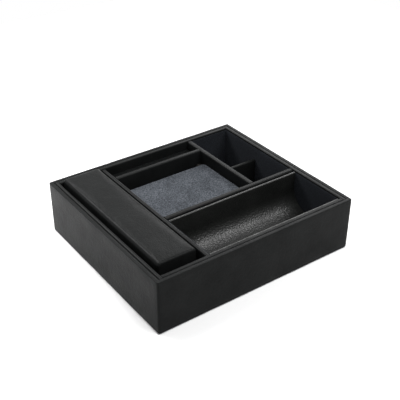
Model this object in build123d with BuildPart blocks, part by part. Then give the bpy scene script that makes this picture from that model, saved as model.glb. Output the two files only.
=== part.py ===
from build123d import *
import os

# A leather-covered valet box for a desk or a night stand. An outer frame of boards is wrapped in
# leather. A second frame of thin liner panels stands inside it, and partitions divide the inside:
#   left         a narrow bay, with a long padded bar that lifts out
#   front right  a trough with a curved leather cradle for pens, glasses or keys
#   middle       a shallow suede tray; its floor panel lifts out of the cable space below
#   back         a narrow slot in front of the back wall, with a plug hole in its floor
#   back right   two deep suede-lined bins with a low partition between them
# Millimetres. +X is to the right, +Y to the back and +Z up. The origin is on the table, in the
# middle of the footprint.

# ---------------------------------------------------------------- driving sizes: the outside
outer_width = 222.0          # left to right, over the leather
outer_depth = 196.0          # front to back, over the leather
rim_height = 56.0            # table to the top of the rim
corner_round = 1.8           # upright outer corners
edge_round = 1.3             # softened upper edges of every leather-wrapped board

# ---------------------------------------------------------------- driving sizes: sheets and boards
leather = 0.8                # covering leather
suede = 0.8                  # suede lining
felt = 1.0                   # felt under the box and under the watch bar
wall_board = 2.4             # core of an outer wall
liner_board = 2.4            # core of a liner panel
base_thickness = 3.2         # bottom board
divider_board = 2.6          # core of the divider beside the watch bay
partition_board = 3.6        # core of the long partition, the phone rail and the bin divider
low_partition_board = 2.4    # core of the low partition between the bins
felt_inset = 3.0             # bare edge around the felt under the box
turn_under = 12.0            # how far the outer leather is turned in under the box
seam_gap = 0.2               # between the outer frame and the liner panels

# ---------------------------------------------------------------- driving sizes: the compartments
bay_width = 47.0             # watch bay, left to right
trough_bay_depth = 67.6      # front compartment, front to back
tray_width = 101.8           # suede tray and phone slot, left to right
slot_width = 18.8            # phone slot, front to back
partition_drop = 0.8         # top of a partition below the rim
front_bin_depth = 52.2       # front bin, up to the low partition
low_partition_top = 40.7     # table to the top of the low partition
lining_drop = 2.0            # upper edge of a suede wall lining below the rim

# ---------------------------------------------------------------- driving sizes: the trough
cradle_board = 1.6           # stiff card that the trough leather is glued to
cradle_spring = 36.0         # height where the upright sides turn into the curve
cradle_bottom = 14.2         # table to the lowest point of the curve
cradle_lip_drop = 1.2        # top of the cradle's lips below the rim
cradle_back_gap = 2.2        # dark slit between the cradle and the long partition
cradle_front_gap = 0.2       # between the cradle and the front liner
rib_thickness = 4.0          # boards that carry the cradle
rib_count = 3
rib_top = 26.0               # table to the top of a rib
rib_inset = 18.0             # first and last rib from the cradle's ends

# ---------------------------------------------------------------- driving sizes: the lift-out panel
panel_top = 43.2             # table to the suede that things lie on
panel_board_thickness = 2.4
panel_suede = 1.2            # brushed suede over the panel board
panel_play = 0.5             # around the panel, to its walls
panel_finger_gap = 8.0       # behind the panel, to the phone rail
panel_corner = 4.0
panel_edge_round = 0.9
cleat_width = 5.0            # strips that the panel and the slot floor lie on
cleat_height = 6.0

# ---------------------------------------------------------------- driving sizes: the phone slot
slot_floor_top = 46.0        # table to the top of the slot's floor
slot_floor_board = 2.4
plug_slot_length = 18.0      # hole in the slot floor for a charging plug
plug_slot_width = 9.0
slot_cleat_width = 5.0

# ---------------------------------------------------------------- driving sizes: the cable way
port_width = 26.0            # rounded hole in the back wall
port_height = 12.0
port_centre = 18.0           # table to the middle of the hole
foot_notch_width = 30.0      # notch in the foot of the phone rail
foot_notch_height = 14.0

# ---------------------------------------------------------------- driving sizes: the watch bar
bar_play = 3.2               # on either side of the bar
bar_front_gap = 8.8          # finger gap in front of the bar
bar_back_gap = 0.4
bar_rise = 4.2               # top of the bar above the rim
bar_height = 26.0
bar_crown = 0.9              # how far the padded top swells in the middle
bar_shoulder = 5.0           # round long edges
bar_end_round = 2.6          # round ends
bar_foam = 4.0               # padding over the core, at the middle
rest_length = 12.0           # blocks that the bar lies on
rest_inset = 7.0             # a block's outer end from the end of the bar

# ---------------------------------------------------------------- driving sizes: the bins
bin_floor = 2.6              # suede-covered card in the bottom of a bin
seat_gap = 0.3               # between a lift-out piece and what it lies on
pad_play = 0.2               # around a bin floor, to the lining

# ---------------------------------------------------------------- levels and walls worked out
wall_thickness = wall_board + 2 * leather
liner_thickness = liner_board + 2 * leather
divider_thickness = divider_board + 2 * leather
partition_thickness = partition_board + 2 * leather
low_partition_thickness = low_partition_board + 2 * leather
boards_bottom = felt + leather
base_top = boards_bottom + base_thickness
partition_top = rim_height - partition_drop
lining_top = rim_height - lining_drop
bar_top = rim_height + bar_rise
bar_bottom = bar_top - bar_height
panel_bottom = panel_top - panel_suede - panel_board_thickness

# Each span is (low, high) along one axis, in millimetres from the origin.
outer_x = (-outer_width / 2, outer_width / 2)
outer_y = (-outer_depth / 2, outer_depth / 2)
frame_x = (outer_x[0] + wall_thickness, outer_x[1] - wall_thickness)
frame_y = (outer_y[0] + wall_thickness, outer_y[1] - wall_thickness)
liner_x = (frame_x[0] + seam_gap, frame_x[1] - seam_gap)
liner_y = (frame_y[0] + seam_gap, frame_y[1] - seam_gap)
inside_x = (liner_x[0] + liner_thickness, liner_x[1] - liner_thickness)
inside_y = (liner_y[0] + liner_thickness, liner_y[1] - liner_thickness)
bay_x = (inside_x[0], inside_x[0] + bay_width)
divider_x = (bay_x[1], bay_x[1] + divider_thickness)
main_x = (divider_x[1], inside_x[1])
trough_y = (inside_y[0], inside_y[0] + trough_bay_depth)
long_partition_y = (trough_y[1], trough_y[1] + partition_thickness)
tray_x = (main_x[0], main_x[0] + tray_width)
slot_y = (inside_y[1] - slot_width, inside_y[1])
phone_rail_y = (slot_y[0] - partition_thickness, slot_y[0])
tray_y = (long_partition_y[1], phone_rail_y[0])
bin_divider_x = (tray_x[1], tray_x[1] + partition_thickness)
bins_x = (bin_divider_x[1], inside_x[1])
bins_y = (long_partition_y[1], inside_y[1])
bin_room_x = (bins_x[0] + suede, bins_x[1] - suede)
bin_room_y = (bins_y[0] + suede, bins_y[1] - suede)
low_partition_y = (bin_room_y[0] + front_bin_depth, bin_room_y[0] + front_bin_depth + low_partition_thickness)
cradle_x = (main_x[0] + suede, main_x[1] - suede)
cradle_y = (trough_y[0] + cradle_front_gap, trough_y[1] - cradle_back_gap)
cradle_top = rim_height - cradle_lip_drop
panel_x = (tray_x[0] + panel_play, tray_x[1] - panel_play)
panel_y = (tray_y[0] + panel_play, tray_y[1] - panel_finger_gap)
bar_x = (bay_x[0] + bar_play, bay_x[1] - bar_play)
bar_y = (inside_y[0] + bar_front_gap, inside_y[1] - bar_back_gap)


def middle(span):
    return (span[0] + span[1]) / 2


def length(span):
    return span[1] - span[0]


def inset(span, amount):
    return (span[0] + amount, span[1] - amount)


def board(x_span, y_span, z_span, cutter=None):
    """A plain rectangular board that fills the three spans, less an optional cutter."""
    with BuildPart() as piece:
        with BuildSketch(Plane.XY.offset(z_span[0])):
            with Locations((middle(x_span), middle(y_span))):
                Rectangle(length(x_span), length(y_span))
        extrude(amount=length(z_span))
        if cutter:
            add(cutter.part, mode=Mode.SUBTRACT)
    return piece


def wrap(core, x_span, y_span, z_span, run, cutter=None):
    """A cover folded over the top of a board, open at its foot and at its two ends.

    run is the axis that the board runs along. The upper long edges are softened.
    """
    with BuildPart() as piece:
        with BuildSketch(Plane.XY.offset(z_span[0])):
            with Locations((middle(x_span), middle(y_span))):
                Rectangle(length(x_span), length(y_span))
        extrude(amount=length(z_span))
        top_edges = piece.edges().group_by(Axis.Z)[-1].filter_by(run)
        fillet(top_edges, radius=edge_round)
        add(core.part, mode=Mode.SUBTRACT)
        if cutter:
            add(cutter.part, mode=Mode.SUBTRACT)
    return piece


def save(piece, name):
    """Label a finished piece and write it as its own STEP file."""
    piece.part.label = name
    export_step(piece.part, f"parts/{name}.step")


def save_wrapped_board(name, cover_name, cover, x_span, y_span, z_span, run, cutter=None):
    """Write a board and the sheet that is folded over it. The spans are over the sheet."""
    core_x = x_span if run == Axis.X else inset(x_span, cover)
    core_y = y_span if run == Axis.Y else inset(y_span, cover)
    core = board(core_x, core_y, (z_span[0], z_span[1] - cover), cutter)
    save(core, f"{name}_board")
    save(wrap(core, x_span, y_span, z_span, run, cutter), f"{name}_{cover_name}")


os.makedirs("parts", exist_ok=True)

# ---------------------------------------------------------------- cutters of the cable way
with BuildPart() as port_cutter:
    with BuildSketch(Plane.XZ.offset(-outer_y[1] - wall_thickness)):
        with Locations((middle(tray_x), port_centre)):
            SlotOverall(port_width, port_height)
    extrude(amount=3 * wall_thickness + seam_gap + liner_thickness)

with BuildPart() as foot_notch_cutter:
    with BuildSketch(Plane.XZ.offset(-phone_rail_y[1] - partition_thickness)):
        with Locations((middle(tray_x), base_top + foot_notch_height / 2)):
            Rectangle(foot_notch_width, foot_notch_height)
    extrude(amount=3 * partition_thickness)

# ---------------------------------------------------------------- bottom
with BuildPart() as base_felt:
    with BuildSketch():
        Rectangle(outer_width - 2 * felt_inset, outer_depth - 2 * felt_inset)
    extrude(amount=felt)
save(base_felt, "base_felt")

# The bottom board fits between the boards of the outer frame.
core_x = inset(outer_x, leather)
core_y = inset(outer_y, leather)
base_x = inset(core_x, wall_board)
base_y = inset(core_y, wall_board)
base_z = (boards_bottom, base_top)
base_board = board(base_x, base_y, base_z)
save(base_board, "base_board")

# ---------------------------------------------------------------- outer frame
wall_z = (boards_bottom, rim_height - leather)
front_wall_y = (core_y[0], base_y[0])
back_wall_y = (base_y[1], core_y[1])
save(board((core_x[0], base_x[0]), core_y, wall_z), "left_wall_board")
save(board((base_x[1], core_x[1]), core_y, wall_z), "right_wall_board")
save(board(base_x, front_wall_y, wall_z), "front_wall_board")
save(board(base_x, back_wall_y, wall_z, port_cutter), "back_wall_board")

# One cover: up the outside, over the rim, down the inside to the bottom board, and turned in
# under the box below, where the felt hides its raw edge.
with BuildPart() as outer_leather:
    with BuildSketch(Plane.XY.offset(felt)):
        RectangleRounded(outer_width, outer_depth, corner_round)
    extrude(amount=rim_height - felt)
    with BuildSketch(Plane.XY.offset(base_top)):
        Rectangle(length(frame_x), length(frame_y))
    extrude(amount=rim_height - base_top, mode=Mode.SUBTRACT)
    rim_edges = outer_leather.edges().group_by(Axis.Z)[-1]
    foot_edges = outer_leather.edges().group_by(Axis.Z)[0]
    fillet(rim_edges + foot_edges, radius=edge_round)
    with BuildSketch(Plane.XY.offset(boards_bottom)):
        Rectangle(length(core_x), length(core_y))
        Rectangle(length(base_x), length(base_y), mode=Mode.SUBTRACT)
    extrude(amount=length(wall_z), mode=Mode.SUBTRACT)
    add(base_board.part, mode=Mode.SUBTRACT)
    with BuildSketch(Plane.XY.offset(felt)):
        Rectangle(outer_width - 2 * turn_under, outer_depth - 2 * turn_under)
    extrude(amount=leather, mode=Mode.SUBTRACT)
    add(port_cutter.part, mode=Mode.SUBTRACT)
save(outer_leather, "outer_leather")

# ---------------------------------------------------------------- liner panels inside the frame
liner_z = (base_top, rim_height)
liner_left_x = (liner_x[0], inside_x[0])
liner_right_x = (inside_x[1], liner_x[1])
liner_front_y = (liner_y[0], inside_y[0])
liner_back_y = (inside_y[1], liner_y[1])
save_wrapped_board("left_liner", "leather", leather, liner_left_x, liner_y, liner_z, Axis.Y)
save_wrapped_board("right_liner", "leather", leather, liner_right_x, liner_y, liner_z, Axis.Y)
save_wrapped_board("front_liner", "leather", leather, inside_x, liner_front_y, liner_z, Axis.X)
save_wrapped_board("back_liner", "leather", leather, inside_x, liner_back_y, liner_z, Axis.X, port_cutter)

# ---------------------------------------------------------------- partitions
partition_z = (base_top, partition_top)
save_wrapped_board("bay_divider", "leather", leather, divider_x, inside_y, partition_z, Axis.Y)
save_wrapped_board("long_partition", "leather", leather, main_x, long_partition_y, partition_z, Axis.X)
save_wrapped_board("bin_divider", "leather", leather, bin_divider_x, bins_y, partition_z, Axis.Y)
save_wrapped_board(
    "phone_rail", "leather", leather, tray_x, phone_rail_y, partition_z, Axis.X, foot_notch_cutter
)

# ---------------------------------------------------------------- phone slot
slot_floor_z = (slot_floor_top - slot_floor_board - leather, slot_floor_top)
with BuildPart() as plug_slot_cutter:
    with BuildSketch(Plane.XY.offset(slot_floor_z[0])):
        with Locations((middle(tray_x), middle(slot_y))):
            SlotOverall(plug_slot_length, plug_slot_width)
    extrude(amount=length(slot_floor_z))
save(
    board(tray_x, slot_y, (slot_floor_z[0], slot_floor_z[1] - leather), plug_slot_cutter),
    "phone_slot_floor_board",
)
save(
    board(tray_x, slot_y, (slot_floor_z[1] - leather, slot_floor_z[1]), plug_slot_cutter),
    "phone_slot_floor_leather",
)

with BuildPart() as slot_cleats:
    with BuildSketch(Plane.XY.offset(slot_floor_z[0] - cleat_height)):
        for cleat_x in (tray_x[0] + slot_cleat_width / 2, tray_x[1] - slot_cleat_width / 2):
            with Locations((cleat_x, middle(slot_y))):
                Rectangle(slot_cleat_width, length(slot_y))
    extrude(amount=cleat_height)
save(slot_cleats, "phone_slot_cleats")

# ---------------------------------------------------------------- lift-out panel of the suede tray
panel_cleat_top = panel_bottom - seat_gap
with BuildPart() as panel_cleats:
    with BuildSketch(Plane.XY.offset(panel_cleat_top - cleat_height)):
        for cleat_x in (tray_x[0] + cleat_width / 2, tray_x[1] - cleat_width / 2):
            with Locations((cleat_x, middle(tray_y))):
                Rectangle(cleat_width, length(tray_y))
    extrude(amount=cleat_height)
save(panel_cleats, "panel_cleats")

with BuildPart() as panel_core:
    with BuildSketch(Plane.XY.offset(panel_bottom)):
        with Locations((middle(panel_x), middle(panel_y))):
            RectangleRounded(
                length(panel_x) - 2 * panel_suede,
                length(panel_y) - 2 * panel_suede,
                panel_corner - panel_suede,
            )
    extrude(amount=panel_board_thickness)
save(panel_core, "tray_panel_board")

with BuildPart() as panel_cover:
    with BuildSketch(Plane.XY.offset(panel_bottom)):
        with Locations((middle(panel_x), middle(panel_y))):
            RectangleRounded(length(panel_x), length(panel_y), panel_corner)
    extrude(amount=panel_top - panel_bottom)
    fillet(panel_cover.edges().group_by(Axis.Z)[-1], radius=panel_edge_round)
    add(panel_core.part, mode=Mode.SUBTRACT)
save(panel_cover, "tray_panel_suede")

save(board(tray_x, tray_y, (base_top, base_top + suede)), "cable_bay_lining")


# ---------------------------------------------------------------- trough
def trough_section(depth_in, top):
    """The cradle's U as a face, moved inwards from its outside by depth_in, up to the height top."""
    low, high = inset(cradle_y, depth_in)
    outside_drop = cradle_spring - cradle_bottom + cradle_board + leather
    with BuildSketch(Plane.YZ.offset(cradle_x[0])) as section:
        with BuildLine():
            Line((low, top), (low, cradle_spring))
            EllipticalCenterArc(
                (middle(cradle_y), cradle_spring),
                length(cradle_y) / 2 - depth_in,
                outside_drop - depth_in,
                start_angle=180,
                arc_size=180,
            )
            Line((high, cradle_spring), (high, top))
            Line((high, top), (low, top))
        make_face()
    return section.sketch


card_top = cradle_top - leather
card_outside = trough_section(0, card_top)
card_inside = trough_section(cradle_board, card_top)
cover_outside = trough_section(0, cradle_top)
cover_inside = trough_section(cradle_board + leather, cradle_top)

with BuildPart() as trough_card:
    extrude(card_outside, amount=length(cradle_x))
    extrude(card_inside, amount=length(cradle_x), mode=Mode.SUBTRACT)
save(trough_card, "trough_board")

with BuildPart() as trough_cover:
    extrude(cover_outside, amount=length(cradle_x))
    extrude(cover_inside, amount=length(cradle_x), mode=Mode.SUBTRACT)
    add(trough_card.part, mode=Mode.SUBTRACT)
save(trough_cover, "trough_leather")

rib_starts = [
    cradle_x[0] + rib_inset + step * (length(cradle_x) - 2 * rib_inset - rib_thickness) / (rib_count - 1)
    for step in range(rib_count)
]
with BuildPart() as trough_ribs:
    for rib_start in rib_starts:
        with BuildSketch(Plane.YZ.offset(rib_start)):
            with Locations((middle(cradle_y), (base_top + rib_top) / 2)):
                Rectangle(length(cradle_y), rib_top - base_top)
        extrude(amount=rib_thickness)
    extrude(cover_outside, amount=length(cradle_x), mode=Mode.SUBTRACT)
save(trough_ribs, "trough_ribs")

trough_lining_z = (base_top, lining_top)
trough_left_lining_x = (main_x[0], main_x[0] + suede)
trough_right_lining_x = (main_x[1] - suede, main_x[1])
save(board(trough_left_lining_x, trough_y, trough_lining_z), "trough_left_lining")
save(board(trough_right_lining_x, trough_y, trough_lining_z), "trough_right_lining")

# ---------------------------------------------------------------- bins
with BuildPart() as bin_lining:
    with BuildSketch(Plane.XY.offset(base_top)):
        with Locations((middle(bins_x), middle(bins_y))):
            Rectangle(length(bins_x), length(bins_y))
            Rectangle(length(bin_room_x), length(bin_room_y), mode=Mode.SUBTRACT)
    extrude(amount=lining_top - base_top)
save(bin_lining, "bin_lining")

low_partition_z = (base_top, low_partition_top)
save_wrapped_board(
    "low_partition", "leather", leather, bin_room_x, low_partition_y, low_partition_z, Axis.X
)

bin_floor_z = (base_top, base_top + bin_floor)
bin_floor_x = inset(bin_room_x, pad_play)
front_bin_y = inset((bin_room_y[0], low_partition_y[0]), pad_play)
rear_bin_y = inset((low_partition_y[1], bin_room_y[1]), pad_play)
save(board(bin_floor_x, front_bin_y, bin_floor_z), "front_bin_floor")
save(board(bin_floor_x, rear_bin_y, bin_floor_z), "rear_bin_floor")

# ---------------------------------------------------------------- watch bay and bar
save(board(bay_x, inside_y, (base_top, base_top + suede)), "watch_bay_lining")

with BuildPart() as bar_rests:
    rest_low = base_top + suede
    rest_high = bar_bottom - seat_gap
    with BuildSketch(Plane.XY.offset(rest_low)):
        for rest_y in (
            bar_y[0] + rest_inset + rest_length / 2,
            bar_y[1] - rest_inset - rest_length / 2,
        ):
            with Locations((middle(bay_x), rest_y)):
                Rectangle(bay_width, rest_length)
    extrude(amount=rest_high - rest_low)
save(bar_rests, "watch_bar_rests")


def bar_block(depth_in, bottom):
    """The bar's padded block, moved inwards from its outside by depth_in, down to bottom."""
    x_span = inset(bar_x, depth_in)
    y_span = inset(bar_y, depth_in)
    top = bar_top - depth_in
    side_top = top - bar_crown
    with BuildPart() as block:
        with BuildSketch(Plane.XZ.offset(-y_span[0])) as section:
            with BuildLine():
                Line((x_span[0], side_top), (x_span[0], bottom))
                Line((x_span[0], bottom), (x_span[1], bottom))
                Line((x_span[1], bottom), (x_span[1], side_top))
                ThreePointArc((x_span[1], side_top), (middle(x_span), top), (x_span[0], side_top))
            make_face()
            fillet(section.vertices().group_by(Axis.Y)[-1], radius=bar_shoulder - depth_in)
        extrude(amount=-length(y_span))
        ends = block.faces().filter_by(Axis.Y)
        raised_edges = ends.edges().group_by(Axis.Z)[1:]
        fillet([edge for group in raised_edges for edge in group], radius=bar_end_round - depth_in)
    return block


bar_outside = bar_block(0, bar_bottom)
bar_inside = bar_block(leather, bar_bottom)
bar_core_top = bar_top - leather - bar_foam

with BuildPart() as bar_leather:
    add(bar_outside.part)
    add(bar_inside.part, mode=Mode.SUBTRACT)
save(bar_leather, "watch_bar_leather")

with BuildPart() as bar_padding:
    add(bar_inside.part)
    split(bisect_by=Plane.XY.offset(bar_core_top), keep=Keep.TOP)
save(bar_padding, "watch_bar_foam")

with BuildPart() as bar_core:
    add(bar_inside.part)
    split(bisect_by=Plane.XY.offset(bar_core_top), keep=Keep.BOTTOM)
    split(bisect_by=Plane.XY.offset(bar_bottom + felt), keep=Keep.TOP)
save(bar_core, "watch_bar_core")

with BuildPart() as bar_felt:
    add(bar_inside.part)
    split(bisect_by=Plane.XY.offset(bar_bottom + felt), keep=Keep.BOTTOM)
save(bar_felt, "watch_bar_felt")
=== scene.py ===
import logging
import math
from contextlib import contextmanager
from dataclasses import dataclass
from enum import Enum
from functools import cache
from typing import Any, Callable, Iterator

import bmesh
import bpy
import numpy as np
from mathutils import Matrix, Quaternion, Vector


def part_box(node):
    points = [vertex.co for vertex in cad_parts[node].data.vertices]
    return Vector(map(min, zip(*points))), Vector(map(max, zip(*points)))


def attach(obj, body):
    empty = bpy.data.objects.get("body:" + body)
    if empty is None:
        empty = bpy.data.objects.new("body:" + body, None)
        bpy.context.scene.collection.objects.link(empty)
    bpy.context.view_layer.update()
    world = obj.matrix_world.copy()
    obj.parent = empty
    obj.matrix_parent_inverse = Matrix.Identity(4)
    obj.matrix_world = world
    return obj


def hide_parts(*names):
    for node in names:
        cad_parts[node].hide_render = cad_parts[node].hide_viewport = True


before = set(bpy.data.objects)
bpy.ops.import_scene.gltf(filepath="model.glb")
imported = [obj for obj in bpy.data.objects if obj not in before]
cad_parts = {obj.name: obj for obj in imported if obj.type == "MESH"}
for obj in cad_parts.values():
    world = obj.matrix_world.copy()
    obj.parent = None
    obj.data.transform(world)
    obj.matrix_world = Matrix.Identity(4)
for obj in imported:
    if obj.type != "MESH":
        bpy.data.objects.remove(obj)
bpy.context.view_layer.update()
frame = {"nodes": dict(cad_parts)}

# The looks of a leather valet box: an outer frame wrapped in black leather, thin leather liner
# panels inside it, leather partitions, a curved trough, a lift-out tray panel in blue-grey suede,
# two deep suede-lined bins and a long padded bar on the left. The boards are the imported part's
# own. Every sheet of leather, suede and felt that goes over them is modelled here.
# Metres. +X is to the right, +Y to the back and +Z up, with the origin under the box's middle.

MM = 0.001
HAIR = 0.02 * MM         # near enough to be in the same plane
ALONG = 0.9              # a unit vector with this much of an axis runs along it
FOLD = math.radians(30)  # two faces that turn by more than this meet in a fold
HOLE_POINTS = 32         # round a hole that is cut
CURVE_POINTS = 96        # round the ellipse that the trough is half of
LOG = logging.getLogger("valet_box")


class Way(Enum):
    """An axis of the row frame."""

    X = 0
    Y = 1
    Z = 2

    @property
    def vector(self) -> Vector:
        """The axis as a unit vector."""
        return Vector([float(self.value == axis) for axis in range(3)])


class Kind(Enum):
    """What is picked in a mesh that is open for editing."""

    POINT = "VERT"
    EDGE = "EDGE"
    FACE = "FACE"


class Body(Enum):
    """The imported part's bodies: the box and its two lift-out pieces."""

    BOX = "box"
    WATCH_BAR = "watch_bar"
    TRAY_PANEL = "tray_panel"


class Slot(Enum):
    """The record's material slots that the modelled pieces take."""

    LEATHER = "leather"
    SUEDE = "suede"
    FELT = "felt"


@dataclass(frozen=True)
class Block:
    """An upright block of space in the row frame.

    Attributes:
        low: Its lowest corner.
        high: Its highest corner.
    """

    low: Vector
    high: Vector

    @classmethod
    def of(cls, node: str) -> "Block":
        """The block that a CAD node fills at rest."""
        return cls(*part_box(node))

    @property
    def size(self) -> Vector:
        """Its length along each axis."""
        return self.high - self.low

    @property
    def middle(self) -> Vector:
        """The point at its middle."""
        return (self.low + self.high) / 2

    def inset(self, x: float = 0.0, y: float = 0.0, z: float = 0.0) -> "Block":
        """The block drawn in on both sides along each axis.

        Args:
            x: How far each side moves in along X.
            y: How far each side moves in along Y.
            z: How far each side moves in along Z.

        Returns:
            The smaller block.
        """
        step = Vector((x, y, z))
        return Block(self.low + step, self.high - step)

    def holds(self, at: Vector) -> bool:
        """Whether a point is in the block or on its surface."""
        return all(a - HAIR < b < c + HAIR for a, b, c in zip(self.low, at, self.high))

    def between(self, low: float, high: float) -> "Block":
        """The same block between two other heights."""
        return Block(Vector((*self.low.xy, low)), Vector((*self.high.xy, high)))


# ---------------------------------------------------------------- modelling by hand
Test = Callable[[Vector, Vector], bool]


def take(piece: bpy.types.Object) -> None:
    """Makes a piece the only one selected, and the active one."""
    if bpy.context.mode != "OBJECT":
        bpy.ops.object.mode_set(mode="OBJECT")
    bpy.ops.object.select_all(action="DESELECT")
    piece.select_set(True)
    bpy.context.view_layer.objects.active = piece


def start_block(name: str, block: Block) -> bpy.types.Object:
    """Adds a cube primitive at its size and place.

    Args:
        name: The new piece's name.
        block: The space that it fills.

    Returns:
        The piece, with its place in its mesh.
    """
    bpy.ops.object.select_all(action="DESELECT")
    bpy.ops.mesh.primitive_cube_add(size=1, location=block.middle, scale=block.size)
    piece = bpy.context.object
    piece.name = piece.data.name = name
    bpy.ops.object.transform_apply(location=True, rotation=True, scale=True)
    return piece


def start_stadium(name: str, middle: Vector, size: Vector, along: Way) -> bpy.types.Object:
    """Adds a bar with round ends, which cuts a rounded hole.

    Args:
        name: The cutter's name.
        middle: The hole's middle.
        size: Its length along X, its width, and how deep it cuts.
        along: The axis that it cuts along, Y or Z.

    Returns:
        The cutter.
    """
    turn = (math.pi / 2, 0, 0) if along is Way.Y else (0, 0, 0)
    bpy.ops.object.select_all(action="DESELECT")
    bpy.ops.mesh.primitive_cylinder_add(
        vertices=HOLE_POINTS, radius=size.y / 2, depth=size.z, location=middle, rotation=turn
    )
    cutter = bpy.context.object
    cutter.name = cutter.data.name = name
    bpy.ops.object.transform_apply(location=True, rotation=True, scale=True)
    reach = (size.x - size.y) / 2
    for side in (-1, 1):
        with editing(cutter):
            pick(Kind.POINT, lambda at, way: side * (at.x - middle.x) > HAIR)
            bpy.ops.transform.translate(value=(side * reach, 0, 0))
    return cutter


@contextmanager
def editing(piece: bpy.types.Object) -> Iterator[None]:
    """Opens a piece in edit mode with nothing selected, and closes it again."""
    take(piece)
    bpy.ops.object.mode_set(mode="EDIT")
    bpy.ops.mesh.select_all(action="DESELECT")
    try:
        yield
    finally:
        bpy.ops.object.mode_set(mode="OBJECT")


def pick(kind: Kind, test: Test, folds_only: bool = False) -> int:
    """Selects, in the open piece, what passes a test, and nothing else.

    Args:
        kind: Points, edges or faces.
        test: Takes the middle of each and its normal, or an edge's direction.
        folds_only: Passes over edges in the middle of a flat face.

    Returns:
        How many were selected.
    """
    bpy.ops.mesh.select_mode(type=kind.value)
    bpy.ops.mesh.select_all(action="DESELECT")
    data = bpy.context.edit_object.data
    mesh = bmesh.from_edit_mesh(data)
    if kind is Kind.POINT:
        found = [(point, point.co, point.normal) for point in mesh.verts]
    elif kind is Kind.FACE:
        found = [(face, face.calc_center_median(), face.normal) for face in mesh.faces]
    else:
        found = [
            (edge, (edge.verts[0].co + edge.verts[1].co) / 2, edge.verts[1].co - edge.verts[0].co)
            for edge in mesh.edges
            if not folds_only or edge.calc_face_angle(math.pi) > FOLD
        ]
    chosen = [item for item, at, way in found if test(at, way.normalized())]
    for item in chosen:
        item.select_set(True)
    mesh.select_flush_mode()
    bmesh.update_edit_mesh(data)
    return len(chosen)


def level(height: float) -> Callable[[Vector], bool]:
    """A test of whether a point lies at a height."""
    return lambda at: abs(at.z - height) < HAIR


def round_over(radius: float, segments: int, test: Test, folds_only: bool = False) -> None:
    """Rounds the edges of the open piece that pass a test.

    Args:
        radius: How far the rounding reaches from the edge.
        segments: How many faces go round it.
        test: Takes each edge's middle and its direction.
        folds_only: Passes over edges in the middle of a flat face.
    """
    pick(Kind.EDGE, test, folds_only)
    bpy.ops.mesh.bevel(offset=radius, segments=segments, affect="EDGES")


def open_up(test: Test) -> None:
    """Takes away the faces of the open piece that pass a test."""
    pick(Kind.FACE, test)
    bpy.ops.mesh.delete(type="FACE")


def apply_modifier(piece: bpy.types.Object, kind: str, **settings: Any) -> None:
    """Adds a modifier with its settings, and applies it.

    Args:
        piece: The piece that it shapes.
        kind: The modifier's type.
        **settings: Its settings by name.
    """
    take(piece)
    modifier = piece.modifiers.new(kind.title(), kind)
    for name, value in settings.items():
        setattr(modifier, name, value)
    bpy.ops.object.modifier_apply(modifier=modifier.name)


def cut(piece: bpy.types.Object, cutter: bpy.types.Object) -> None:
    """Cuts a cutter's shape out of a piece, and removes the cutter."""
    apply_modifier(piece, "BOOLEAN", object=cutter, operation="DIFFERENCE", solver="EXACT")
    bpy.data.objects.remove(cutter)


def slice_evenly(piece: bpy.types.Object, way: Way, spacing: float) -> None:
    """Cuts a mesh across at even steps, so that it can bend there.

    Args:
        piece: The piece that is cut.
        way: The axis that the steps follow.
        spacing: About how far apart the cuts are.
    """
    places = [point.co[way.value] for point in piece.data.vertices]
    low, high = min(places), max(places)
    steps = max(2, round((high - low) / spacing))
    with editing(piece):
        for step in range(1, steps):
            bpy.ops.mesh.select_all(action="SELECT")
            where = way.vector * (low + (high - low) * step / steps)
            bpy.ops.mesh.bisect(plane_co=where, plane_no=way.vector)


def lay_by_hand(piece: bpy.types.Object, stand_off: float, pitch: float) -> None:
    """Gives a sheet the slight unevenness of one that is pulled and glued by hand.

    Args:
        piece: The sheet, cut into small enough faces.
        stand_off: The most that it leaves its true surface, inwards or outwards.
        pitch: The distance from one rise to the next.
    """
    rises = bpy.data.textures.new(f"{piece.name}_rises", "CLOUDS")
    rises.noise_scale = pitch
    apply_modifier(
        piece, "DISPLACE", texture=rises, texture_coords="LOCAL", strength=2 * stand_off,
        mid_level=0.5,
    )
    bpy.data.textures.remove(rises)


def thicken(piece: bpy.types.Object, thickness: float) -> None:
    """Gives a sheet its thickness, behind the side that shows."""
    apply_modifier(piece, "SOLIDIFY", thickness=thickness, offset=-1.0)


def smooth(piece: bpy.types.Object, crease: float = 40.0) -> None:
    """Shades a piece smooth, but for edges sharper than crease, in degrees."""
    take(piece)
    bpy.ops.object.shade_smooth_by_angle(angle=math.radians(crease))


# ---------------------------------------------------------------- finishes
def linear(shade: str) -> tuple[float, float, float, float]:
    """Turns an sRGB hex value into the linear colour that a shader takes."""
    parts = [int(shade[start:start + 2], 16) / 255 for start in (1, 3, 5)]
    red, green, blue = (p / 12.92 if p <= 0.04045 else ((p + 0.055) / 1.055) ** 2.4 for p in parts)
    return red, green, blue, 1.0


def add_node(
    tree: bpy.types.NodeTree, kind: str, inputs: dict[Any, Any] | None = None, **settings: Any
) -> bpy.types.Node:
    """Adds a node with its settings, values and links.

    Args:
        tree: The material's or world's node tree.
        kind: The node's type.
        inputs: A value, or another node's output, for each named or numbered input.
        **settings: The node's own settings by name.

    Returns:
        The node.
    """
    node = tree.nodes.new(kind)
    for name, value in settings.items():
        setattr(node, name, value)
    for socket, value in (inputs or {}).items():
        if isinstance(value, bpy.types.NodeSocket):
            tree.links.new(value, node.inputs[socket])
        else:
            node.inputs[socket].default_value = value
    return node


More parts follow.
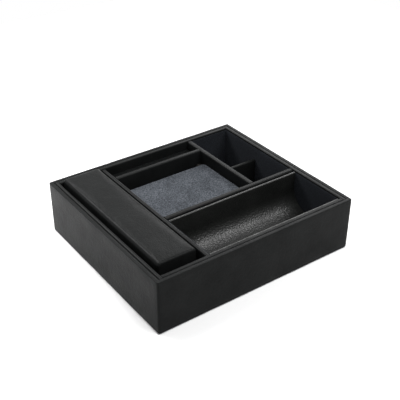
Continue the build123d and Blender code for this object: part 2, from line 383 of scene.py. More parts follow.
class Finish:
    """What every finish can do: make its material, and dress a piece in it."""

    name: str

    def paint(self, tree: bpy.types.NodeTree, place: bpy.types.NodeSocket) -> dict[str, Any]:
        """Adds the pattern nodes and gives the shader's inputs.

        Args:
            tree: The material's node tree.
            place: The piece's own coordinates, in metres.

        Returns:
            A value or a link for each of the shader's named inputs.
        """
        raise NotImplementedError

    def dress(self, *pieces: bpy.types.Object) -> None:
        """Puts the finish on pieces, in place of what they had."""
        for piece in pieces:
            piece.data.materials.clear()
            piece.data.materials.append(material_of(self))


@cache
def material_of(finish: Finish) -> bpy.types.Material:
    """Makes a finish's material once."""
    material = bpy.data.materials.new(finish.name)
    material.use_nodes = True
    tree = material.node_tree
    tree.nodes.clear()
    place = add_node(tree, "ShaderNodeTexCoord").outputs["Object"]
    shader = add_node(tree, "ShaderNodeBsdfPrincipled", finish.paint(tree, place))
    add_node(tree, "ShaderNodeOutputMaterial", {"Surface": shader.outputs["BSDF"]})
    return material


@dataclass(frozen=True)
class Leather(Finish):
    """Split leather with a black polyurethane coat, embossed and semi-matt.

    The coat gives a soft broad gloss over a nearly black ground. Its pores are too fine to show
    in a render, so they are drawn two or three times as wide. Slow patches of deeper and paler
    black are where the dye took unevenly.

    Attributes:
        name: The material's name.
        deep: Its darker black.
        pale: Its paler black.
        pore: Width of one cell of the embossed grain.
        pore_depth: Depth of the grain.
        wave: Width of the soft unevenness under the coat.
        wave_depth: Depth of that unevenness.
        patch: Width of a patch of dye.
        roughness: Of the coat, at its smoothest.
        dulled: How much rougher the coat is where the dye is deepest.
        gloss: The coat's specular level.
        dye_range: Values of the patches' noise that give the deep and the pale black.
        coat_range: Values of the same noise that give the roughest and the smoothest coat.
    """

    name: str
    deep: str = "#101111"
    pale: str = "#161717"
    pore: float = 0.9 * MM
    pore_depth: float = 0.05 * MM
    wave: float = 5.0 * MM
    wave_depth: float = 0.08 * MM
    patch: float = 26.0 * MM
    roughness: float = 0.33
    dulled: float = 0.08
    gloss: float = 0.05
    dye_range: tuple[float, float] = (0.35, 0.65)
    coat_range: tuple[float, float] = (0.3, 0.7)

    def paint(self, tree: bpy.types.NodeTree, place: bpy.types.NodeSocket) -> dict[str, Any]:
        """Adds dye patches, pores and soft waves."""
        patches = add_node(
            tree, "ShaderNodeTexNoise",
            {"Vector": place, "Scale": 1 / self.patch, "Detail": 4.0, "Roughness": 0.6},
        ).outputs["Fac"]
        pores = add_node(
            tree, "ShaderNodeTexVoronoi", {"Vector": place, "Scale": 1 / self.pore},
            feature="SMOOTH_F1",
        ).outputs["Distance"]
        waves = add_node(
            tree, "ShaderNodeTexNoise", {"Vector": place, "Scale": 1 / self.wave, "Detail": 2.0}
        ).outputs["Fac"]
        dye = add_node(
            tree, "ShaderNodeMapRange",
            {"Value": patches, "From Min": self.dye_range[0], "From Max": self.dye_range[1]},
        ).outputs["Result"]
        colour = add_node(
            tree, "ShaderNodeMix", {"Factor": dye, "A": linear(self.deep), "B": linear(self.pale)},
            data_type="RGBA",
        )
        roughness = add_node(
            tree, "ShaderNodeMapRange",
            {"Value": patches, "From Min": self.coat_range[0], "From Max": self.coat_range[1],
             "To Min": self.roughness + self.dulled, "To Max": self.roughness},
        ).outputs["Result"]
        soft = add_node(
            tree, "ShaderNodeBump", {"Height": waves, "Distance": self.wave_depth, "Strength": 1.0}
        ).outputs["Normal"]
        normal = add_node(
            tree, "ShaderNodeBump",
            {"Height": pores, "Distance": self.pore_depth, "Strength": 1.0, "Normal": soft},
        ).outputs["Normal"]
        return {
            "Base Color": colour.outputs[2],
            "Roughness": roughness,
            "Specular IOR Level": self.gloss,
            "IOR": 1.5,
            "Normal": normal,
        }


@dataclass(frozen=True)
class Suede(Finish):
    """Brushed microfibre suede, a nap of fine upright fibres.

    The nap has no gloss, only a faint sheen at a low angle. Where it is brushed the other way it
    is paler, so it looks flecked and cloudy. The fibres themselves are a twentieth of a
    millimetre, so the flecks are drawn as the tufts that they gather in.

    Attributes:
        name: The material's name.
        shade: The ground between pale and dark tufts.
        pale: Tufts that lean to the light.
        dark: Tufts that lean away.
        tuft: Width of a tuft.
        cloud: Width of a brushed patch.
        relief: Height of the nap's unevenness.
        sheen: How much the nap glows at a low angle.
        glow: The colour of that sheen.
        roughness: Of the nap.
        tuft_range: Values of the noise that give the dark and the pale tufts.
        cloudy: How much of the pattern the brushed patches make.
    """

    name: str
    shade: str = "#313438"
    pale: str = "#505358"
    dark: str = "#1a1c1f"
    tuft: float = 1.3 * MM
    cloud: float = 18.0 * MM
    relief: float = 0.25 * MM
    sheen: float = 0.35
    glow: str = "#b8c0cc"
    roughness: float = 0.95
    tuft_range: tuple[float, float] = (0.42, 0.60)
    cloudy: float = 0.2

    def paint(self, tree: bpy.types.NodeTree, place: bpy.types.NodeSocket) -> dict[str, Any]:
        """Adds tufts, brushed clouds and the nap's relief."""
        tufts = add_node(
            tree, "ShaderNodeTexNoise",
            {"Vector": place, "Scale": 1 / self.tuft, "Detail": 4.0, "Roughness": 0.7,
             "Distortion": 0.4},
        ).outputs["Fac"]
        clouds = add_node(
            tree, "ShaderNodeTexNoise", {"Vector": place, "Scale": 1 / self.cloud, "Detail": 3.0}
        ).outputs["Fac"]
        both = add_node(
            tree, "ShaderNodeMix", {"Factor": self.cloudy, "A": tufts, "B": clouds},
            data_type="FLOAT",
        ).outputs[0]
        colour = add_node(tree, "ShaderNodeValToRGB", {"Fac": both})
        ramp = colour.color_ramp.elements
        for stop, position, shade in zip(ramp, self.tuft_range, (self.dark, self.pale)):
            stop.position, stop.color = position, linear(shade)
        ramp.new(0.5).color = linear(self.shade)
        normal = add_node(
            tree, "ShaderNodeBump", {"Height": tufts, "Distance": self.relief, "Strength": 0.8}
        ).outputs["Normal"]
        return {
            "Base Color": colour.outputs["Color"],
            "Roughness": self.roughness,
            "Specular IOR Level": 0.1,
            "Sheen Weight": self.sheen,
            "Sheen Roughness": 0.5,
            "Sheen Tint": linear(self.glow),
            "Normal": normal,
        }


@dataclass(frozen=True)
class Board(Finish):
    """Medium-density fibreboard or bookbinding card, sawn, and left raw or stained.

    Pressed wood fibre: matt, speckled with darker and paler fibres a millimetre or two long.

    Attributes:
        name: The material's name.
        shade: The ground colour.
        fleck: The darker fibres.
        fibre: Length of a fibre.
        drawn_out: How much shorter the flecks are along each axis of the board.
        fleck_range: Values of the noise that give the darker fibres and the ground.
        tooth: Depth of the pressed surface's unevenness.
        roughness: Of the pressed surface.
    """

    name: str
    shade: str = "#a8875f"
    fleck: str = "#7b5e3d"
    fibre: float = 1.6 * MM
    drawn_out: tuple[float, float, float] = (1.0, 0.5, 1.6)
    fleck_range: tuple[float, float] = (0.38, 0.62)
    tooth: float = 0.08 * MM
    roughness: float = 0.85

    def paint(self, tree: bpy.types.NodeTree, place: bpy.types.NodeSocket) -> dict[str, Any]:
        """Adds flecks and a fine tooth."""
        drawn = add_node(
            tree, "ShaderNodeMapping", {"Vector": place, "Scale": self.drawn_out}
        ).outputs["Vector"]
        flecks = add_node(
            tree, "ShaderNodeTexNoise",
            {"Vector": drawn, "Scale": 1 / self.fibre, "Detail": 6.0, "Roughness": 0.75},
        ).outputs["Fac"]
        spread = add_node(
            tree, "ShaderNodeMapRange",
            {"Value": flecks, "From Min": self.fleck_range[0], "From Max": self.fleck_range[1]},
        ).outputs["Result"]
        colour = add_node(
            tree, "ShaderNodeMix",
            {"Factor": spread, "A": linear(self.fleck), "B": linear(self.shade)},
            data_type="RGBA",
        )
        normal = add_node(
            tree, "ShaderNodeBump", {"Height": flecks, "Distance": self.tooth, "Strength": 0.7}
        ).outputs["Normal"]
        return {"Base Color": colour.outputs[2], "Roughness": self.roughness, "Normal": normal}


BOX_LEATHER = Leather(
    "black coated split leather", pore_depth=0.12 * MM, wave=3.5 * MM, wave_depth=0.14 * MM,
    roughness=0.36,
)
LINER_LEATHER = Leather("black coated split leather, thin", pore=0.8 * MM, wave_depth=0.04 * MM)
TROUGH_LEATHER = Leather(
    "black pebble-grain leather", deep="#111211", pale="#191a19", pore=1.3 * MM,
    pore_depth=0.33 * MM, wave=3.0 * MM, wave_depth=0.08 * MM, roughness=0.3, gloss=0.3,
)
BAR_LEATHER = Leather(
    "black nappa leather over padding", pore=1.0 * MM, pore_depth=0.16 * MM, wave=6.0 * MM,
    wave_depth=0.16 * MM, roughness=0.32,
)
TRAY_SUEDE = Suede("blue-grey brushed suede")
# Painted shade: the tray's blue-grey suede, darkened so that the deep bins, the trough's end walls
# and the bays look shaded inside. The darkness stands in for shade and is not a different suede.
SHADE_DARKENED_SUEDE = Suede(
    "blue-grey suede darkened as painted shade", shade="#15171b", pale="#1f2226", dark="#0e0f12", tuft=1.2 * MM,
    cloud=24.0 * MM, sheen=0.12,
)
FELT = Suede(
    "black wool felt", shade="#1c1c1e", pale="#29292b", dark="#111112", tuft=0.9 * MM,
    cloud=9.0 * MM, relief=0.3 * MM, sheen=0.15,
)
FIBREBOARD = Board("raw fibreboard")
STAINED_BOARD = Board("black-stained fibreboard", shade="#24211e", fleck="#151311", roughness=0.8)
CARD = Board("grey bookbinding card", shade="#7d776c", fleck="#5d584f", fibre=1.1 * MM)


def finish_piece(
    piece: bpy.types.Object, body: Body, slot: Slot, finish: Finish, *nodes: str
) -> bpy.types.Object:
    """Dresses a modelled piece, hangs it on its body and hides the CAD nodes that it stands for.

    Args:
        piece: The finished mesh.
        body: The body that it rides on.
        slot: The record's slot that it stands for; not used.
        finish: What it is made of.
        *nodes: The CAD nodes that it stands for.

    Returns:
        The piece.
    """
    smooth(piece)
    finish.dress(piece)
    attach(piece, body.value)
    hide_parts(*nodes)
    LOG.info("%s: %d faces, %s", piece.name, len(piece.data.polygons), finish.name)
    return piece


def dress_nodes(finish: Finish, *nodes: str) -> None:
    """Puts a finish on CAD nodes whose shape stays as it is."""
    for node in nodes:
        finish.dress(frame["nodes"][node])
        LOG.info("%s: packed shape, %s", node, finish.name)


# ---------------------------------------------------------------- what repeats
@dataclass(frozen=True)
class FoldedCover:
    """A sheet folded over the top of a board and glued down both its sides.

    Attributes:
        node: The CAD cover that it stands for, which gives its size and place.
        run: The axis that the board runs along.
        sheet: Thickness of the sheet.
        folds: Radius of the fold along the upper edge on the low side and on the high side.
        stand_off: The most that the sheet leaves its true surface.
        pitch: From one rise of the sheet to the next.
        step: Spacing of the cuts that let it bend.
    """

    node: str
    run: Way
    folds: tuple[float, float]
    sheet: float = 0.8 * MM
    stand_off: float = 0.1 * MM
    pitch: float = 14.0 * MM
    step: float = 5.0 * MM

    def model(self) -> bpy.types.Object:
        """Models the cover, open at its foot and its two ends."""
        block = Block.of(self.node)
        along = self.run.value
        across = Way.Y.value if self.run is Way.X else Way.X.value
        at_top = level(block.high.z)
        piece = start_block(f"{self.node}_cover", block)
        with editing(piece):
            open_up(lambda at, way: way.z < -ALONG or abs(way[along]) > ALONG)
            for side, fold in zip((block.low[across], block.high[across]), self.folds):
                round_over(fold, 6, lambda at, way: abs(at[across] - side) < HAIR and at_top(at))
        slice_evenly(piece, self.run, self.step)
        slice_evenly(piece, Way.Z, self.step)
        lay_by_hand(piece, self.stand_off, self.pitch)
        thicken(piece, self.sheet)
        return piece


@dataclass(frozen=True)
class FlatSheet:
    """A flat panel of lining, or a card covered in it, with softened edges.

    Attributes:
        node: The CAD node that it stands for, which gives its size and place.
        soft: Radius of its softened edges.
        stand_off: The most that it leaves its true surface.
        pitch: From one rise of the lining to the next.
        step: Spacing of the cuts that let it bend.
    """

    node: str
    soft: float = 0.3 * MM
    stand_off: float = 0.08 * MM
    pitch: float = 12.0 * MM
    step: float = 5.0 * MM

    def model(self) -> bpy.types.Object:
        """Models the sheet as a closed slab."""
        block = Block.of(self.node)
        piece = start_block(f"{self.node}_sheet", block)
        with editing(piece):
            round_over(self.soft, 3, lambda at, way: True)
        for way in Way:
            if block.size[way.value] > 2 * self.step:
                slice_evenly(piece, way, self.step)
        lay_by_hand(piece, self.stand_off, self.pitch)
        return piece


# ---------------------------------------------------------------- sub-assemblies
@dataclass
class OuterFrame:
    """The outer frame of boards, the leather wrapped round it, and the felt below.

    Attributes:
        sheet: Thickness of the leather.
        wall: Thickness of a wall with its leather.
        corner: Radius of the upright outer corners.
        fold: Radius of the folds along the rim's outer edge and round the foot.
        roll: Radius of the rim's inner fold, where it rolls down to the liner panels.
        turn_under: How far the leather is turned in under the box.
        port: The length and width of the port through the back.
        port_height: From the table to the port's middle.
        stand_off: The most that the leather leaves its true surface.
        pitch: From one rise of the leather to the next.
        step: Spacing of the cuts that let it bend.
    """

    sheet: float = 0.8 * MM
    wall: float = 4.0 * MM
    corner: float = 1.8 * MM
    fold: float = 0.6 * MM
    roll: float = 0.9 * MM
    turn_under: float = 12.0 * MM
    port: tuple[float, float] = (26.0 * MM, 12.0 * MM)
    port_height: float = 18.0 * MM
    stand_off: float = 0.15 * MM
    pitch: float = 22.0 * MM
    step: float = 6.0 * MM

    def port_cutter(self) -> bpy.types.Object:
        """The bar that cuts the port through the back of the box."""
        block = Block.of("outer_leather")
        middle_x = Block.of("cable_bay_lining").middle.x
        middle = Vector((middle_x, block.high.y - self.wall, self.port_height))
        return start_stadium("port_cutter", middle, Vector((*self.port, 6 * self.wall)), Way.Y)

    def model_cover(self) -> bpy.types.Object:
        """Models the leather up the outside, over the rim, down the inside and under the box."""
        block = Block.of("outer_leather")
        floor_top = Block.of("base_board").high.z
        piece = start_block("outer_leather_cover", block)
        with editing(piece):
            round_over(self.corner, 6, lambda at, way: abs(way.z) > ALONG)
        hollow = block.inset(x=self.wall, y=self.wall).between(floor_top, 2 * block.high.z)
        cut(piece, start_block("hollow", hollow))
        opening = block.inset(x=self.turn_under, y=self.turn_under)
        opening = opening.between(-self.sheet, block.low.z + self.sheet / 2)
        cut(piece, start_block("opening", opening))
        with editing(piece):
            open_up(lambda at, way: way.z > ALONG and abs(at.z - floor_top) < HAIR)
            open_up(lambda at, way: block.low.z + HAIR < at.z < block.low.z + self.sheet)
            at_foot, at_rim = level(block.low.z), level(block.high.z)
            round_over(
                self.roll, 6, lambda at, way: at_rim(at) and hollow.holds(at), folds_only=True
            )
            rim_edge = block.inset(x=self.fold, y=self.fold, z=-MM)
            round_over(
                self.fold,
                5,
                lambda at, way: (at_foot(at) and not opening.holds(at))
                or (at_rim(at) and not rim_edge.holds(at)),
                folds_only=True,
            )
        for way in Way:
            slice_evenly(piece, way, self.step)
        lay_by_hand(piece, self.stand_off, self.pitch)
        thicken(piece, self.sheet)
        cut(piece, self.port_cutter())
        return piece

    def build(self) -> None:
        """Models and dresses the frame's pieces."""
        finish_piece(self.model_cover(), Body.BOX, Slot.LEATHER, BOX_LEATHER, "outer_leather")
        felt = FlatSheet("base_felt", soft=0.4 * MM, step=8 * MM).model()
        finish_piece(felt, Body.BOX, Slot.FELT, FELT, "base_felt")
        dress_nodes(FIBREBOARD, *(f"{side}_wall_board" for side in ("front", "left", "right")))
        dress_nodes(STAINED_BOARD, "base_board", "back_wall_board")


@dataclass
class LinerPanels:
    """Four thin leather-wrapped panels that stand inside the outer frame.

    Attributes:
        frame: The outer frame, whose port goes on through the back panel.
        fold: Radius of a panel's folds.
        roll: Radius of the left panel's outer fold, which rolls wide into its seam.
    """

    frame: OuterFrame
    fold: float = 0.9 * MM
    roll: float = 2.3 * MM

    def build(self) -> None:
        """Models and dresses the panels."""
        for side, run in (("left", Way.Y), ("right", Way.Y), ("front", Way.X), ("back", Way.X)):
            node = f"{side}_liner_leather"
            outer_fold = self.roll if side == "left" else self.fold
            piece = FoldedCover(node, run, (outer_fold, self.fold)).model()
            if side == "back":
                cut(piece, self.frame.port_cutter())
            finish_piece(piece, Body.BOX, Slot.LEATHER, LINER_LEATHER, node)
            dress_nodes(STAINED_BOARD if side == "back" else FIBREBOARD, f"{side}_liner_board")


@dataclass
class Partitions:
    """The leather-wrapped partitions that divide the inside.

    Attributes:
        fold: Radius of the folds along their tops.
        notch: The notch in the foot of the rail: its length and height.
    """

    fold: float = 1.4 * MM
    notch: tuple[float, float] = (30.0 * MM, 14.0 * MM)

    def notch_cutter(self) -> bpy.types.Object:
        """The block that cuts the notch in the foot of the rail."""
        rail = Block.of("phone_rail_leather")
        reach = Vector((self.notch[0] / 2, rail.size.y, 0))
        foot = Vector((*rail.middle.xy, rail.low.z))
        high = foot + reach + Vector((0, 0, self.notch[1]))
        return start_block("notch_cutter", Block(foot - reach - Vector((0, 0, MM)), high))

    def build(self) -> None:
        """Models and dresses the partitions."""
        runs = {
            "bay_divider": Way.Y,
            "long_partition": Way.X,
            "bin_divider": Way.Y,
            "phone_rail": Way.X,
            "low_partition": Way.X,
        }
        for name, run in runs.items():
            node = f"{name}_leather"
            piece = FoldedCover(node, run, (self.fold, self.fold)).model()
            if name == "phone_rail":
                cut(piece, self.notch_cutter())
            finish_piece(piece, Body.BOX, Slot.LEATHER, LINER_LEATHER, node)
            dress_nodes(STAINED_BOARD if name == "phone_rail" else FIBREBOARD, f"{name}_board")


@dataclass
class PhoneSlot:
    """The floor of the slot behind the rail, with its rounded plug hole.

    Attributes:
        hole: The hole's length and width.
    """

    hole: tuple[float, float] = (18.0 * MM, 9.0 * MM)

    def build(self) -> None:
        """Models and dresses the floor, and dresses what carries it."""
        node = "phone_slot_floor_leather"
        piece = FlatSheet(node, soft=0.25 * MM).model()
        depth = 4 * Block.of(node).size.z
        middle = Block.of(node).middle
        cut(piece, start_stadium("plug_cutter", middle, Vector((*self.hole, depth)), Way.Z))
        finish_piece(piece, Body.BOX, Slot.LEATHER, LINER_LEATHER, node)
        dress_nodes(STAINED_BOARD, "phone_slot_floor_board", "phone_slot_cleats")


@dataclass
class Trough:
    """The curved leather cradle in the front compartment, and its suede end walls.

    Attributes:
        sheet: Thickness of the leather.
        card: Thickness of the card that it is glued to.
        spring: From the table to where the upright sides turn into the curve.
        lip: Radius of the folds along the cradle's lips.
        stand_off: The most that the leather leaves its true surface.
        pitch: From one rise of the leather to the next.
        steps: Spacing of the cuts along the trough and up its sides.
    """

    sheet: float = 0.8 * MM
    card: float = 1.6 * MM
    spring: float = 36.0 * MM
    lip: float = 0.9 * MM
    stand_off: float = 0.15 * MM
    pitch: float = 13.0 * MM
    steps: tuple[float, float] = (3.0 * MM, 5.0 * MM)

    def model_cradle(self) -> bpy.types.Object:
        """Models the leather: half an ellipse, upright sides, and lips folded over the card."""
        block = Block.of("trough_leather")
        wall = self.sheet + self.card
        half = block.size.y / 2 - wall
        drop = self.spring - block.low.z - self.sheet
        bpy.ops.object.select_all(action="DESELECT")
        bpy.ops.mesh.primitive_circle_add(
            vertices=CURVE_POINTS, radius=1, rotation=(0, math.pi / 2, 0)
        )
        piece = bpy.context.object
        piece.name = piece.data.name = "trough_leather_cradle"
        bpy.ops.object.transform_apply(location=True, rotation=True, scale=True)
        with editing(piece):
            pick(Kind.POINT, lambda at, way: at.z > MM)
            bpy.ops.mesh.delete(type="VERT")
            bpy.ops.mesh.select_all(action="SELECT")
            bpy.ops.transform.resize(value=(1, half, drop), center_override=(0, 0, 0))
            bpy.ops.transform.translate(value=(block.low.x, block.middle.y, self.spring))
            pick(Kind.POINT, lambda at, way: abs(at.z - self.spring) < HAIR)
            self.extrude_points(Vector((0, 0, block.high.z - self.spring)))
            at_top = level(block.high.z)
            for side in (-1, 1):
                edge = block.middle.y + side * half
                pick(Kind.POINT, lambda at, way: at_top(at) and abs(at.y - edge) < HAIR)
                self.extrude_points(Vector((0, side * wall, 0)))
                self.extrude_points(Vector((0, 0, -2 * self.lip)))
            bpy.ops.mesh.select_all(action="SELECT")
            bpy.ops.mesh.extrude_region_move(TRANSFORM_OT_translate={"value": (block.size.x, 0, 0)})
            round_over(self.lip, 4, lambda at, way: abs(way.x) > ALONG and at_top(at))
            bpy.ops.mesh.select_all(action="SELECT")
            bpy.ops.mesh.normals_make_consistent(inside=False)
            bottom = block.low.z + 2 * self.sheet     # the side that shows faces up here
            if pick(Kind.FACE, lambda at, way: at.z < bottom and way.z < -ALONG):
                bpy.ops.mesh.select_all(action="SELECT")
                bpy.ops.mesh.flip_normals()
        for way, step in zip((Way.X, Way.Z), self.steps):
            slice_evenly(piece, way, step)
        lay_by_hand(piece, self.stand_off, self.pitch)
        thicken(piece, self.sheet)
        return piece

    @staticmethod
    def extrude_points(move: Vector) -> None:
        """Draws a new edge out of each picked point."""
        bpy.ops.mesh.extrude_vertices_move(TRANSFORM_OT_translate={"value": move})

    def build(self) -> None:
        """Models and dresses the trough."""
        finish_piece(self.model_cradle(), Body.BOX, Slot.LEATHER, TROUGH_LEATHER, "trough_leather")
        for node in ("trough_left_lining", "trough_right_lining"):
            # Painted shade: the end walls take the suede that is darkened for shade.
            finish_piece(FlatSheet(node).model(), Body.BOX, Slot.SUEDE, SHADE_DARKENED_SUEDE, node)
        dress_nodes(CARD, "trough_board")
        dress_nodes(FIBREBOARD, "trough_ribs")


@dataclass
class Bins:
    """The two deep bins: suede on their walls and floors.

    Attributes:
        sheet: Thickness of the suede.
        soft: Radius of its upper edges on the walls.
        pillow: Radius of the floors' edges.
        stand_off: The most that the suede leaves its true surface.
        pitch: From one rise of the suede to the next.
        step: Spacing of the cuts that let it bend.
    """

    sheet: float = 0.8 * MM
    soft: float = 0.25 * MM
    pillow: float = 1.0 * MM
    stand_off: float = 0.08 * MM
    pitch: float = 12.0 * MM
    step: float = 5.0 * MM

    def model_lining(self) -> bpy.types.Object:
        """Models the suede on the four walls."""
        block = Block.of("bin_lining")
        piece = start_block("bin_lining_walls", block)
        cut(piece, start_block("room", block.inset(x=self.sheet, y=self.sheet, z=-MM)))
        with editing(piece):
            at_top = level(block.high.z)
            round_over(self.soft, 2, lambda at, way: at_top(at), folds_only=True)
        for way in Way:
            slice_evenly(piece, way, self.step)
        lay_by_hand(piece, self.stand_off, self.pitch)
        return piece

    def build(self) -> None:
        """Models and dresses the bins."""
        # Painted shade: the bins' walls and floors take the suede that is darkened for shade.
        finish_piece(self.model_lining(), Body.BOX, Slot.SUEDE, SHADE_DARKENED_SUEDE, "bin_lining")
        for node in ("front_bin_floor", "rear_bin_floor"):
            pad = FlatSheet(node, soft=self.pillow).model()
            finish_piece(pad, Body.BOX, Slot.SUEDE, SHADE_DARKENED_SUEDE, node)


@dataclass
class SuedeTray:
    """The tray's lift-out panel in brushed suede, and the lined space below it.

    Attributes:
        sheet: Thickness of the suede.
        corner: Radius of the panel's corners.
        soft: Radius of its upper edge.
        stand_off: The most that the suede leaves its true surface.
        pitch: From one rise of the suede to the next.
        step: Spacing of the cuts that let it bend.
    """

    sheet: float = 1.2 * MM
    corner: float = 4.0 * MM
    soft: float = 1.1 * MM
    stand_off: float = 0.15 * MM
    pitch: float = 15.0 * MM
    step: float = 4.0 * MM

    def model_panel(self) -> bpy.types.Object:
        """Models the suede over the panel board and down its edges."""
        block = Block.of("tray_panel_suede")
        piece = start_block("tray_panel_suede_cover", block)
        with editing(piece):
            round_over(self.corner, 8, lambda at, way: abs(way.z) > ALONG)
            open_up(lambda at, way: way.z < -ALONG)
            at_top = level(block.high.z)
            round_over(self.soft, 5, lambda at, way: at_top(at), folds_only=True)
        for way in (Way.X, Way.Y):
            slice_evenly(piece, way, self.step)
        lay_by_hand(piece, self.stand_off, self.pitch)
        thicken(piece, self.sheet)
        return piece

    def build(self) -> None:
        """Models and dresses the tray."""
        panel = self.model_panel()
        finish_piece(panel, Body.TRAY_PANEL, Slot.SUEDE, TRAY_SUEDE, "tray_panel_suede")
        lining = FlatSheet("cable_bay_lining").model()
        # Painted shade: the space below takes the suede that is darkened for shade.
        finish_piece(lining, Body.BOX, Slot.SUEDE, SHADE_DARKENED_SUEDE, "cable_bay_lining")
        dress_nodes(FIBREBOARD, "tray_panel_board")
        dress_nodes(STAINED_BOARD, "panel_cleats")


@dataclass
class WatchBar:
    """The padded bar on the left, and the bay that it lies in.

    Attributes:
        shoulder: Radius of the long upper edges.
        end: Radius of the upright corners and the end edges.
        foot: Radius of the edges below.
        slack: How much smaller than the finished bar the padding starts.
        step: Spacing of the cuts that let the leather swell.
        grip: Height of the leather's foot that the core holds still.
        pressure: How hard the padding presses the leather out.
        stretch: The leather's stiffness against being stretched or pressed together.
        bend: Its stiffness against being bent.
        most: What no point's swell goes past, however far the cloth moves.
        frames: How long the padding swells.
        fill: How firm the padding is; not used.
    """

    shoulder: float = 3.4 * MM
    end: float = 1.9 * MM
    foot: float = 0.8 * MM
    slack: float = 0.3 * MM
    step: float = 3.0 * MM
    grip: float = 6.0 * MM
    pressure: float = 4.0
    stretch: float = 40.0
    bend: float = 2.0
    most: float = 0.9 * MM
    frames: int = 20
    fill: float = 0.8

    def model_block(self, name: str, block: Block) -> bpy.types.Object:
        """Models a bar with round shoulders and ends.

        Args:
            name: The piece's name.
            block: The space that it fills.

        Returns:
            The piece, closed all round.
        """
        piece = start_block(name, block)
        with editing(piece):
            at_top, at_foot = level(block.high.z), level(block.low.z)
            round_over(self.shoulder, 8, lambda at, way: at_top(at) and abs(way.y) > ALONG)
            reach = block.size.y / 2 - HAIR
            round_over(
                self.end,
                5,
                lambda at, way: abs(at.y - block.middle.y) > reach and not at_foot(at),
                folds_only=True,
            )
            round_over(self.foot, 2, lambda at, way: at_foot(at), folds_only=True)
        return piece

    def swell(self, piece: bpy.types.Object) -> None:
        """Lets the padding press the leather out, with its foot held by the core."""
        before = positions(piece)
        outwards = np.array([point.normal for point in piece.data.vertices])
        held = piece.vertex_groups.new(name="held")
        heights = before[:, Way.Z.value]
        foot = np.flatnonzero(heights < heights.min() + self.grip)
        held.add(foot.tolist(), 1.0, "REPLACE")
        take(piece)
        cloth = piece.modifiers.new("Cloth", "CLOTH").settings
        cloth.use_pressure = True
        cloth.uniform_pressure_force = self.pressure
        cloth.tension_stiffness = cloth.compression_stiffness = self.stretch
        cloth.bending_stiffness = self.bend
        cloth.vertex_group_mass = held.name
        cloth.effector_weights.gravity = 0
        for step in range(1, self.frames + 1):
            bpy.context.scene.frame_set(step)
        bpy.ops.object.modifier_apply(modifier="Cloth")
        bpy.context.scene.frame_set(1)
        move = positions(piece) - before
        sunk = np.minimum(0.0, (move * outwards).sum(axis=1, keepdims=True))
        move -= sunk * outwards
        move /= 1.0 + np.linalg.norm(move, axis=1, keepdims=True) / self.most
        piece.data.vertices.foreach_set("co", (before + move).astype(np.float32).ravel())
        piece.vertex_groups.clear()

    def build(self) -> None:
        """Models and dresses the bar and its bay."""
        block = Block.of("watch_bar_leather")
        snug = Block(block.low, block.high - Vector((0, 0, self.slack)))
        snug = snug.inset(x=self.slack, y=self.slack)
        cover = self.model_block("watch_bar_leather_cover", snug)
        for way in Way:
            slice_evenly(cover, way, self.step)
        self.swell(cover)
        apply_modifier(cover, "SUBSURF", levels=1, render_levels=1)
        finish_piece(
            cover, Body.WATCH_BAR, Slot.LEATHER, BAR_LEATHER, "watch_bar_leather", "watch_bar_foam"
        )
        felt = FlatSheet("watch_bar_felt", soft=0.3 * MM).model()
        finish_piece(felt, Body.WATCH_BAR, Slot.FELT, FELT, "watch_bar_felt")
        lining = FlatSheet("watch_bay_lining").model()
        # Painted shade: the bay takes the suede that is darkened for shade.
        finish_piece(lining, Body.BOX, Slot.SUEDE, SHADE_DARKENED_SUEDE, "watch_bay_lining")
        dress_nodes(FIBREBOARD, "watch_bar_core")
        dress_nodes(STAINED_BOARD, "watch_bar_rests")


def positions(piece: bpy.types.Object) -> np.ndarray:
    """A mesh's points, one row each."""
    places = np.zeros(len(piece.data.vertices) * 3, np.float32)
    piece.data.vertices.foreach_get("co", places)
    return places.reshape(-1, 3).astype(float)


# ---------------------------------------------------------------- the studio
@dataclass(frozen=True)
class Paper(Finish):
    """White background paper, matt.

    Attributes:
        name: The material's name.
        shade: Its colour.
        roughness: Of its surface.
    """

    name: str
    shade: str = "#f7f7f7"
    roughness: float = 0.95

    def paint(self, tree: bpy.types.NodeTree, place: bpy.types.NodeSocket) -> dict[str, Any]:
        """A plain colour."""
        return {
            "Base Color": linear(self.shade),
            "Roughness": self.roughness,
            "Specular IOR Level": 0.0,
        }


@dataclass(frozen=True)
class Softbox:
    """A soft rectangular lamp.

    Attributes:
        name: The lamp's name.
        place: Its middle.
        aim: The point that it faces.
        size: Its width and height.
        power: In watts.
        spread: How wide its beam is, in degrees.
    """

    name: str
    place: tuple[float, float, float]
    aim: tuple[float, float, float]
    size: tuple[float, float]
    power: float
    spread: float = 180.0

    def hang(self) -> None:
        """Adds the lamp."""
        data = bpy.data.lights.new(self.name, "AREA")
        data.shape = "RECTANGLE"
        data.size, data.size_y = self.size
        data.energy = self.power
        data.spread = math.radians(self.spread)
        lamp = bpy.data.objects.new(self.name, data)
        bpy.context.scene.collection.objects.link(lamp)
        lamp.location = self.place
        facing = Vector(self.aim) - Vector(self.place)
        lamp.rotation_euler = facing.to_track_quat("-Z", "Y").to_euler()


LAMPS = (
    Softbox("back softbox, right", (0.72, 0.66, 0.64), (0.0, 0.0, 0.04), (0.55, 0.7), 4.8),
    Softbox("hair light, back", (-0.14, 0.75, 0.82), (0.0, 0.0, 0.04), (0.4, 0.3), 7.5),
    Softbox("key strip, front", (0.26, -0.36, 0.72), (0.26, -0.05, 0.0), (0.8, 0.18), 6.5),
    Softbox(
        "pool of light on the floor, left", (-0.34, 0.23, 0.55), (-0.28, 0.19, 0.0), (0.2, 0.45),
        power=0.6, spread=60.0,
    ),
)


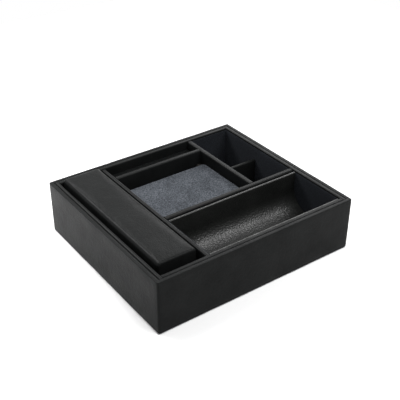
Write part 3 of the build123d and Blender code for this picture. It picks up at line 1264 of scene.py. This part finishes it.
@dataclass
class Studio:
    """A pale floor, soft lamps, a pale surround and the camera.

    Attributes:
        azimuth: Where the camera stands, in degrees round from the front.
        elevation: How far it looks down, in degrees.
        roll: Its tilt about the line of sight, in degrees.
        lens: Its focal length, in millimetres, on a frame 36 mm wide.
        distance: From the camera to the target.
        target: The point on the table that it looks at.
        surround: How strongly the surround lights the scene.
        floor: Width of the floor.
    """

    azimuth: float = -35.91
    elevation: float = 32.32
    roll: float = 0.24
    lens: float = 69.5
    distance: float = 0.8394
    target: tuple[float, float, float] = (0.0436, 0.0569, 0.0)
    surround: float = 0.44
    floor: float = 1.4

    def place_camera(self) -> None:
        """Adds the camera at the photograph's angle."""
        azimuth, elevation = math.radians(self.azimuth), math.radians(self.elevation)
        back = Vector((
            math.sin(azimuth) * math.cos(elevation),
            -math.cos(azimuth) * math.cos(elevation),
            math.sin(elevation),
        ))
        camera = bpy.data.objects.new("camera", bpy.data.cameras.new("camera"))
        bpy.context.scene.collection.objects.link(camera)
        camera.location = Vector(self.target) + back * self.distance
        camera.rotation_mode = "QUATERNION"
        roll = Quaternion((0, 0, 1), math.radians(self.roll))
        camera.rotation_quaternion = (-back).to_track_quat("-Z", "Y") @ roll
        camera.data.lens = self.lens
        bpy.context.scene.camera = camera

    def light(self) -> None:
        """Adds the surround and the lamps."""
        world = bpy.data.worlds.new("surround")
        world.use_nodes = True
        bpy.context.scene.world = world
        tree = world.node_tree
        tree.nodes.clear()
        path = add_node(tree, "ShaderNodeLightPath").outputs
        seen = path["Is Camera Ray"]
        for ray in ("Is Glossy Ray", "Is Transmission Ray"):
            seen = add_node(
                tree, "ShaderNodeMath", {0: seen, 1: path[ray]}, operation="MAXIMUM"
            ).outputs[0]
        strength = add_node(
            tree, "ShaderNodeMapRange", {"Value": seen, "To Min": self.surround, "To Max": 1.0}
        ).outputs["Result"]
        sky = add_node(
            tree, "ShaderNodeBackground", {"Color": linear("#ffffff"), "Strength": strength}
        ).outputs["Background"]
        add_node(tree, "ShaderNodeOutputWorld", {"Surface": sky})
        for lamp in LAMPS:
            lamp.hang()

    def lay_floor(self) -> None:
        """Adds the pale floor."""
        bpy.ops.object.select_all(action="DESELECT")
        bpy.ops.mesh.primitive_plane_add(size=self.floor)
        floor = bpy.context.object
        floor.name = "floor"
        Paper("white background paper").dress(floor)

    def build(self) -> None:
        """Sets the camera, the lights and the floor."""
        self.place_camera()
        self.light()
        self.lay_floor()
        bpy.context.scene.view_settings.view_transform = "Standard"


def main() -> None:
    """Builds the studio and every sub-assembly in order."""
    logging.basicConfig(level=logging.INFO, format="%(message)s")
    Studio().build()
    outer = OuterFrame()
    outer.build()
    LinerPanels(outer).build()
    Partitions().build()
    PhoneSlot().build()
    Trough().build()
    Bins().build()
    SuedeTray().build()
    WatchBar().build()


if __name__ == "__main__":
    main()
